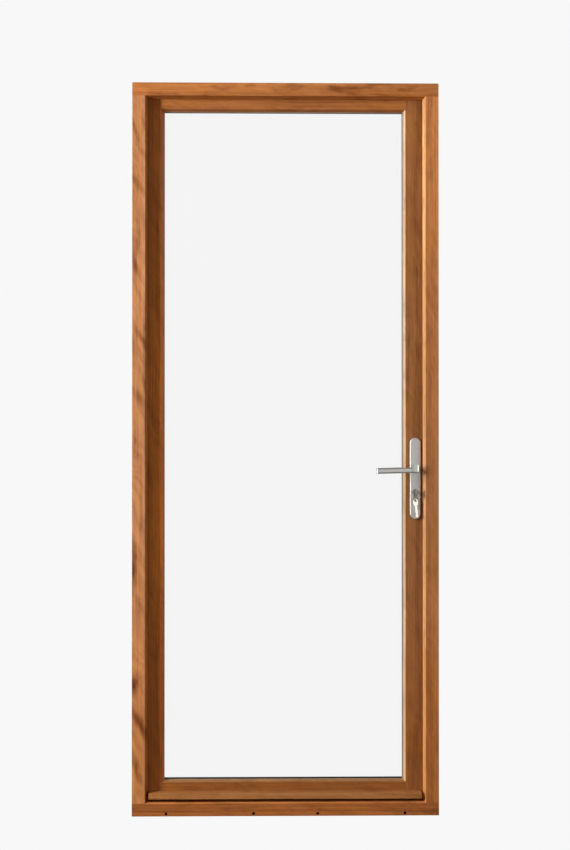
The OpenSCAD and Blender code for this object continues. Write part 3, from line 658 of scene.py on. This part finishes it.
@dataclass(frozen=True)
class Metal:
    """A bare or plated metal.

    Attributes:
        name: The material's name.
        colour: Its colour.
        rough: Mean roughness.
        brush: How it was finished.
        scratch: Depth of the marks, in metres.
        tarnish: Strength of its darker patches.
        metallic: Share of it that mirrors as metal; the rest scatters as a fine grind does.
    """

    name: str
    colour: Colour
    rough: float
    brush: Brush
    scratch: float = 0.000006
    tarnish: float = 0.12
    metallic: float = 1.0

    def material(self) -> bpy.types.Material:
        """Builds the material.

        Returns:
            Its node material.
        """
        graph = Graph.of_material(self.name)
        place = graph.place()
        marks = graph.noise(graph.scaled(place, self.brush.value), 1.0, 4.0, 0.6)
        patches = graph.noise(place, 55.0, 4.0, 0.62)
        specks = graph.noise(place, 900.0, 2.0, 0.5).rise(0.62, 0.75)
        dull = patches.rise(0.45, 0.8) * self.tarnish + specks * 0.05
        colour = graph.mix(dull, self.colour, shade(self.colour, 0.45))
        colour = graph.mix((marks - 0.5).most(0.0) * 0.35, colour, shade(self.colour, 1.25))
        shader = graph.principled(
            Base_Color=colour,
            Metallic=self.metallic,
            Roughness=(marks - 0.5) * 0.16 + patches * 0.06 + (self.rough - 0.03),
            Normal=graph.bump(marks, self.scratch, 0.6),
        )
        return graph.surface(shader)


@dataclass(frozen=True)
class SoftTrim:
    """Rubber, sealant or plastic trim.

    Attributes:
        name: The material's name.
        colour: Its colour.
        rough: Mean roughness.
        grit: Depth of its surface texture, in metres.
    """

    name: str
    colour: Colour
    rough: float
    grit: float = 0.00005

    def material(self) -> bpy.types.Material:
        """Builds the material.

        Returns:
            Its node material.
        """
        graph = Graph.of_material(self.name)
        place = graph.place()
        fine = graph.noise(place, 1300.0, 3.0, 0.6)
        cloudy = graph.noise(place, 42.0, 3.0, 0.5)
        pale = shade(self.colour, 1.7, 0.01)
        shader = graph.principled(
            Base_Color=graph.mix(cloudy * 0.45 + (fine - 0.5) * 0.3, self.colour, pale),
            Roughness=fine * 0.14 + (self.rough - 0.07),
            Normal=graph.bump(fine, self.grit, 0.6),
        )
        return graph.surface(shader)


@dataclass(frozen=True)
class ClearGlass:
    """Clear float glass that shows by its reflections and a trace of dust.

    Attributes:
        name: The material's name.
        tint: What is left of the light that passes.
        haze: How much of the surface is seen as a sheen at right angles.
    """

    name: str
    tint: Colour
    haze: float

    def material(self) -> bpy.types.Material:
        """Builds the material.

        Returns:
            Its node material.
        """
        graph = Graph.of_material(self.name)
        ripple = graph.noise(graph.scaled(graph.place(), (3.0, 3.0, 2.0)), 1.0, 2.0, 0.5)
        dust = graph.noise(graph.place(), 260.0, 3.0, 0.6).rise(0.6, 0.9)
        clear = graph.node("ShaderNodeBsdfTransparent", None, {"Color": rgba(self.tint)})
        gloss = graph.principled(
            Base_Color=(0.75, 0.82, 0.80),
            Roughness=dust * 0.1 + 0.02,
            IOR=1.5,
            Normal=graph.bump(ripple, 0.0004, 0.2),
        )
        edge = graph.node("ShaderNodeFresnel", None, {"IOR": 1.25})
        share = edge * 0.55 + dust * 0.012 + self.haze
        shader = graph.node("ShaderNodeMixShader", None, {0: share, 1: clear, 2: gloss})
        return graph.surface(shader)


JAMB_STREAKS = (
    Streak(-0.443, 2.020, 0.034, 0.008, -20, 0.50),
    Streak(-0.424, 1.945, 0.026, 0.009, -35, 0.30),
    Streak(-0.438, 1.860, 0.045, 0.013, -34, 0.50),
    Streak(-0.445, 1.640, 0.080, 0.011, -5, 0.60),
    Streak(-0.424, 1.400, 0.050, 0.011, -28, 0.55),
    Streak(-0.430, 1.225, 0.045, 0.015, -38, 0.50),
    Streak(-0.446, 0.730, 0.085, 0.012, 0, 0.75),
    Streak(-0.424, 0.610, 0.045, 0.013, -24, 0.50),
    Streak(-0.443, 0.385, 0.032, 0.018, 8, 0.95),
    Streak(-0.428, 0.275, 0.065, 0.014, -28, 0.85),
    Streak(-0.440, 0.150, 0.055, 0.012, -14, 0.70),
)


def bead_timber(name: str, grain: Grain, seed: float, pith: tuple[float, float]) -> StainedTimber:
    """The stained timber of one glazing bead.

    Args:
        name: The material's name.
        grain: Direction of the fibres.
        seed: Shifts the pattern.
        pith: Where the tree's heart lies.

    Returns:
        The finish.
    """
    return StainedTimber(name, grain, srgb(165, 105, 57), srgb(97, 51, 20), seed, pith, flame=0.2)


# Each board's light and dark colours hold part of the light and shade that falls on it, as well as the
# wood's own tone
TIMBERS: dict[str, StainedTimber] = {
    "frame_head": StainedTimber(
        "stained_head", Grain.ALONG_X, srgb(202, 129, 73), srgb(120, 63, 26), 11.3,
        # Painted light: a little paler at the left end than at the right
        pith=(2.20, 0.16), flame=0.55, ends=(1.02, 0.92),
        # Painted shade: the recessed underside below the head's face is deeper and more orange
        bands=(PaintedLightBand(Axis.Z, 2.090, 2.1114, (1.05, 0.92, 0.62)),),
    ),
    "frame_hinge_jamb": StainedTimber(
        "stained_hinge_jamb", Grain.ALONG_Z, srgb(202, 138, 93), srgb(104, 53, 22), 3.7,
        # Painted light: paler towards the top
        pith=(-0.52, 0.12), ring=0.011, waver=0.02, flame=0.30, figure=0.28, ends=(0.97, 1.06),
        streaks=JAMB_STREAKS, knots=((0.435, -0.428),),
        bands=(
            # Painted shade: the lower part is deeper and more orange than the top
            PaintedLightBand(Axis.Z, -1.0, 0.55, (1.08, 1.0, 0.82), 0.3),
            # Painted shade: the reveal that faces the lock side is darker and deeper in colour
            PaintedLightBand(Axis.X, -0.4114, -0.3900, (0.92, 0.75, 0.45)),
        ),
    ),
    "frame_lock_jamb": StainedTimber(
        "stained_lock_jamb", Grain.ALONG_Z, srgb(192, 125, 74), srgb(107, 57, 23), 23.1,
        # Painted light: much paler at the top than at the bottom
        pith=(0.60, 0.20), ring=0.005, flame=0.25, ends=(0.83, 1.26),
        bands=(
            # Painted highlight: the reveal that faces the key light is pale and whitish
            PaintedLightBand(Axis.X, 0.400, 0.4114, (2.05, 2.80, 3.90)),
            # Painted shade: darker from about 0.75 m to 1.55 m high
            PaintedLightBand(Axis.Z, 0.75, 1.55, (0.85, 0.85, 0.90), 0.3),
            # Painted shade: the lower part is deeper and more orange
            PaintedLightBand(Axis.Z, -1.0, 0.45, (1.05, 0.92, 0.72), 0.3),
        ),
    ),
    "frame_sill": StainedTimber(
        "stained_sill", Grain.ALONG_X, srgb(178, 106, 52), srgb(96, 47, 17), 31.9,
        pith=(-0.10, 0.14), flame=0.4,
        # Painted light: the lit front strip of the sill's sloping top is pale
        bands=(PaintedLightBand(Axis.Z, 0.0376, 0.0402, (2.20, 2.60, 3.2)),),
    ),
    "hinge_stile": StainedTimber(
        "stained_hinge_stile", Grain.ALONG_Z, srgb(192, 112, 48), srgb(105, 49, 16), 41.2,
        # Painted shade: darker towards the top, under the head
        pith=(-0.50, 0.16), ring=0.005, flame=0.25, ends=(0.96, 0.83),
        bands=(
            # Painted light: the glazing splay is paler and redder
            PaintedLightBand(Axis.X, -0.3660, -0.3560, (1.25, 1.05, 0.95)),
            # Painted shade: darker beside the frame's stop
            PaintedLightBand(Axis.X, -0.43, -0.388, (0.82, 0.80, 0.78), 0.014),
            # Painted light: paler and yellower at mid height
            PaintedLightBand(Axis.Z, 0.55, 1.60, (1.28, 1.30, 0.95), 0.35),
        ),
    ),
    "lock_stile": StainedTimber(
        "stained_lock_stile", Grain.ALONG_Z, srgb(155, 102, 58), srgb(86, 47, 19), 53.8,
        # Painted light: paler towards the top
        pith=(0.22, 0.11), ring=0.008, waver=0.02, flame=0.25, ends=(0.95, 1.09),
        bands=(
            # Painted highlight: the glazing splay that faces the key light is pale and whitish, palest
            # at its edge
            PaintedLightBand(Axis.X, 0.3400, 0.3508, (1.70, 3.40, 8.0)),
            PaintedLightBand(Axis.X, 0.3508, 0.3548, (2.80, 4.30, 8.5)),
            # Painted shade: the lower part is deeper and more orange
            PaintedLightBand(Axis.Z, -1.0, 0.45, (1.07, 0.97, 0.80), 0.3),
        ),
    ),
    "top_rail": StainedTimber(
        "stained_top_rail", Grain.ALONG_X, srgb(180, 113, 61), srgb(102, 53, 23), 61.5,
        pith=(2.00, 0.14), flame=0.35,
    ),
    "bottom_rail": StainedTimber(
        "stained_bottom_rail", Grain.ALONG_X, srgb(154, 93, 42), srgb(89, 43, 14), 71.6,
        pith=(0.20, 0.16), flame=0.35,
        # Painted light: the upward-facing glazing splay is pale
        bands=(PaintedLightBand(Axis.Z, 0.0955, 0.1040, (1.55, 2.20, 4.0)),),
    ),
    "weather_bar": StainedTimber(
        "stained_weather_bar", Grain.ALONG_X, srgb(181, 120, 70), srgb(107, 60, 26), 83.4,
        pith=(0.14, 0.08), flame=0.3,
    ),
    "bead_hinge_side": bead_timber("stained_bead_hinge_side", Grain.ALONG_Z, 91.7, (-0.42, 0.1)),
    "bead_lock_side": bead_timber("stained_bead_lock_side", Grain.ALONG_Z, 97.2, (0.42, 0.1)),
    "bead_top": bead_timber("stained_bead_top", Grain.ALONG_X, 103.9, (2.2, 0.1)),
    "bead_bottom": bead_timber("stained_bead_bottom", Grain.ALONG_X, 109.4, (0.02, 0.1)),
}

SATIN_STEEL = Metal("satin_steel", srgb(201, 200, 198), 0.46, Brush.VERTICAL, metallic=0.82)
LEVER_STEEL = Metal("satin_steel_lever", srgb(206, 204, 199), 0.36, Brush.LEVEL, metallic=0.92)
BRIGHT_NICKEL = Metal("bright_nickel", srgb(180, 173, 162), 0.56, Brush.TUMBLED, tarnish=0.15)
# Darker nickel for the cylinder: partly its own duller plating, partly painted shade for the dark ring
# around it
DULL_NICKEL_AND_SHADE = Metal("dull_nickel_and_shade", srgb(146, 140, 130), 0.34, Brush.TUMBLED, tarnish=0.2)
PLAIN_BRASS = Metal("plain_brass", srgb(214, 178, 104), 0.30, Brush.TUMBLED)
ZINC_PLATE = Metal("zinc_plate", srgb(190, 194, 200), 0.38, Brush.TUMBLED, tarnish=0.3)
CASE_STEEL = Metal("case_steel", srgb(150, 152, 156), 0.46, Brush.TUMBLED, tarnish=0.35)
SPRING_STEEL = Metal("spring_steel", srgb(130, 128, 126), 0.32, Brush.TUMBLED)

BLACK_RUBBER = SoftTrim("black_rubber", srgb(30, 30, 30), 0.72)
SPACER_BLACK = SoftTrim("black_spacer", srgb(26, 27, 28), 0.5, 0.00002)
EDGE_SEALANT = SoftTrim("edge_sealant", srgb(34, 34, 35), 0.6)
CLEAR_SEALANT = SoftTrim("glazing_sealant", srgb(150, 124, 98), 0.42, 0.00003)
SEAL_RUBBER = SoftTrim("inner_seal_rubber", srgb(36, 36, 37), 0.66)

CLEAR_FLOAT = ClearGlass("clear_float_glass", (0.993, 0.993, 0.993), 0.0)


# ------------------------------------------------------------------ sub-assemblies


class SubAssembly:
    """Shared dressing of a group of CAD nodes."""

    @staticmethod
    def dress(names: Iterable[str], material: bpy.types.Material) -> None:
        """Gives CAD nodes a material.

        Args:
            names: The nodes.
            material: Their material.
        """
        for name in names:
            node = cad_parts[name]
            if not node.material_slots:
                node.data.materials.append(material)
            for slot in node.material_slots:
                slot.material = material
            LOG.info("%s wears %s", name, material.name)


@dataclass
class TimberFrame(SubAssembly):
    """Head, jambs and sill with their seal.

    Attributes:
        members: The timber nodes.
    """

    members: tuple[str, ...] = ("frame_head", "frame_hinge_jamb", "frame_lock_jamb", "frame_sill")

    def build(self) -> None:
        """Dresses the frame."""
        for name in self.members:
            self.dress([name], TIMBERS[name].material())
        self.dress(["frame_seal"], BLACK_RUBBER.material())


@dataclass
class Leaf(SubAssembly):
    """The leaf's timber with its weather bar and beads.

    Attributes:
        members: The timber nodes.
    """

    members: tuple[str, ...] = (
        "hinge_stile", "lock_stile", "top_rail", "bottom_rail", "weather_bar",
        "bead_hinge_side", "bead_lock_side", "bead_top", "bead_bottom",
    )

    def build(self) -> None:
        """Dresses the leaf's timber."""
        for name in self.members:
            self.dress([name], TIMBERS[name].material())


@dataclass
class Glazing(SubAssembly):
    """The double-glazed unit and its seals.

    Attributes:
        panes: The glass nodes.
        cushions: The seal behind the glass and the blocks under it.
    """

    panes: tuple[str, ...] = ("outer_pane", "inner_pane")
    cushions: tuple[str, ...] = ("inner_glazing_seal", "setting_blocks")

    def build(self) -> None:
        """Dresses the panes, the spacer and the seals."""
        self.dress(self.panes, CLEAR_FLOAT.material())
        self.dress(["spacer_bar"], SPACER_BLACK.material())
        self.dress(["edge_sealant"], EDGE_SEALANT.material())
        self.dress(["outer_glazing_seal"], CLEAR_SEALANT.material())
        self.dress(self.cushions, SEAL_RUBBER.material())


@dataclass
class Ironmongery(SubAssembly):
    """Hinges, lock, plates, levers, screws and keys.

    Attributes:
        satin: The ground steel nodes.
        levers: The lever nodes.
        keys: The keys and their ring.
        cylinder: The cylinder's body and plugs.
        brass: The brass nodes.
        zinc: The plated screws, pins and lock parts.
        case: The lock's case and cover.
    """

    satin: tuple[str, ...] = (
        "outer_plate", "inner_plate", "strike_plate", "lock_faceplate",
        "hinge_frame_flaps", "hinge_leaf_flaps", "hinge_pins",
    )
    levers: tuple[str, ...] = ("outer_lever", "inner_lever")
    keys: tuple[str, ...] = ("key", "key_ring", "spare_key")
    cylinder: tuple[str, ...] = ("cylinder_body", "cylinder_plug", "cylinder_inner_plug")
    brass: tuple[str, ...] = ("hinge_washers", "latch_bolt", "dead_bolt")
    zinc: tuple[str, ...] = (
        "corner_screws", "strike_screws", "hinge_frame_screws", "hinge_leaf_screws",
        "lock_screws", "plate_screws", "cylinder_screw", "spindle", "follower",
        "lever_grub_screws", "cylinder_cam", "bead_pins",
    )
    case: tuple[str, ...] = ("lock_case", "lock_cover")

    def build(self) -> None:
        """Dresses the metal."""
        self.dress(self.satin, SATIN_STEEL.material())
        self.dress(self.levers, LEVER_STEEL.material())
        self.dress(self.keys, BRIGHT_NICKEL.material())
        self.dress(self.cylinder, DULL_NICKEL_AND_SHADE.material())
        self.dress(self.brass, PLAIN_BRASS.material())
        self.dress(self.zinc, ZINC_PLATE.material())
        self.dress(self.case, CASE_STEEL.material())
        self.dress(["latch_spring"], SPRING_STEEL.material())


# ------------------------------------------------------------------ studio


WHITE = (1.0, 1.0, 1.0)
WARM_WHITE = (1.0, 0.985, 0.96)


@dataclass
class Softbox:
    """A rectangular studio light.

    Attributes:
        name: Its name.
        place: Where it stands.
        aim: What it points at.
        width: Its width.
        height: Its height.
        power: Its power in watts.
        colour: Its colour.
    """

    name: str
    place: Point
    aim: Point
    width: float
    height: float
    power: float
    colour: Colour = WHITE

    def build(self) -> None:
        """Sets the light up."""
        data = bpy.data.lights.new(self.name, "AREA")
        data.shape = "RECTANGLE"
        data.size = self.width
        data.size_y = self.height
        data.energy = self.power
        data.color = self.colour
        lamp = bpy.data.objects.new(self.name, data)
        lamp.location = self.place
        look = Vector(self.aim) - Vector(self.place)
        lamp.rotation_euler = look.to_track_quat("-Z", "Y").to_euler()
        bpy.context.scene.collection.objects.link(lamp)


@dataclass
class Studio:
    """Floor, surround, lights and camera.

    Attributes:
        surround: Brightness of what is seen behind the door.
        fill: Brightness of the even light on the door.
        floor_half: Half the floor's side.
        floor_gap: How far the floor lies under the sill.
        eye: Where the camera stands.
        turn: How far it is turned to the right, in degrees.
        tilt: How far it is tilted up, in degrees.
        lens: Focal length in millimetres.
        sensor: Height of the sensor in millimetres.
        rise: Upward shift of the view, as a share of its height.
        far: Furthest distance that the camera sees.
        lights: The softboxes.
    """

    surround: Colour = srgb(248, 248, 248)
    fill: float = 0.11
    floor_half: float = 30.0
    floor_gap: float = 0.0004
    eye: Point = (-0.191, -7.046, 1.05)
    turn: float = 1.547
    tilt: float = 0.611
    lens: float = 101.14
    sensor: float = 36.0
    rise: float = 0.0081
    far: float = 200.0
    lights: list[Softbox] = field(default_factory=lambda: [
        Softbox("key_softbox", (-3.67, -2.50, 2.10), (0.0, 0.0, 1.10), 0.7, 3.0, 262.0, WARM_WHITE),
        Softbox("front_card", (0.95, -7.4, 1.2), (0.38, 0.0, 1.0), 3.0, 3.0, 30.0),
        Softbox("fill_card", (4.2, -4.2, 1.5), (0.0, 0.0, 1.1), 2.0, 2.6, 98.0),
        Softbox("top_card", (-1.4, -2.6, 5.2), (0.2, 0.0, 1.0), 1.4, 0.9, 28.0),
        Softbox("edge_strip", (3.38, 0.17, 1.0), (0.39, -0.085, 1.0), 0.25, 1.2, 12.0),
        Softbox("back_card", (3.4, 4.6, 2.3), (0.0, 0.0, 1.05), 2.0, 2.4, 150.0),
    ])

    def _world(self) -> None:
        """An even surround: pale to the camera, softer as light."""
        graph = Graph(bpy.data.worlds.new("studio_surround"))
        to_camera = graph.node("ShaderNodeLightPath", output="Is Camera Ray")
        seen = graph.node("ShaderNodeBackground", None, {"Color": rgba(self.surround)})
        light = graph.node("ShaderNodeBackground", None, {"Color": rgba(WHITE), "Strength": self.fill})
        both = graph.node("ShaderNodeMixShader", None, {0: to_camera, 1: light, 2: seen})
        bpy.context.scene.world = graph.surface(both)

    def _floor(self) -> None:
        """A plain pale floor that lights nothing."""
        half = self.floor_half
        mesh = bpy.data.meshes.new("studio_floor")
        sides = ((-half, -half), (half, -half), (half, half), (-half, half))
        mesh.from_pydata([(x, y, -self.floor_gap) for x, y in sides], [], [(0, 1, 2, 3)])
        floor = bpy.data.objects.new("studio_floor", mesh)
        bpy.context.scene.collection.objects.link(floor)
        graph = Graph.of_material("studio_floor")
        glow = graph.node("ShaderNodeEmission", None, {"Color": rgba(self.surround)})
        mesh.materials.append(graph.surface(glow))
        floor.visible_diffuse = False
        floor.visible_glossy = False

    def _camera(self) -> None:
        """The camera, almost square on to the door."""
        data = bpy.data.cameras.new("studio_camera")
        data.sensor_fit = "VERTICAL"
        data.sensor_height = self.sensor
        data.lens = self.lens
        data.shift_y = self.rise
        data.clip_end = self.far
        camera = bpy.data.objects.new("studio_camera", data)
        camera.location = self.eye
        camera.rotation_euler = (math.radians(90 + self.tilt), 0.0, -math.radians(self.turn))
        bpy.context.scene.collection.objects.link(camera)
        bpy.context.scene.camera = camera

    def build(self) -> None:
        """Sets the studio up."""
        bpy.context.scene.view_settings.view_transform = "Standard"
        self._world()
        self._floor()
        for lamp in self.lights:
            lamp.build()
            LOG.info("light %s", lamp.name)
        self._camera()


def main() -> None:
    """Builds every sub-assembly and the studio, in order."""
    logging.basicConfig(level=logging.INFO, format="%(name)s: %(message)s")
    for part in (TimberFrame(), Leaf(), Glazing(), Ironmongery(), Studio()):
        part.build()
        LOG.info("%s done", type(part).__name__)


if __name__ == "__main__":
    main()
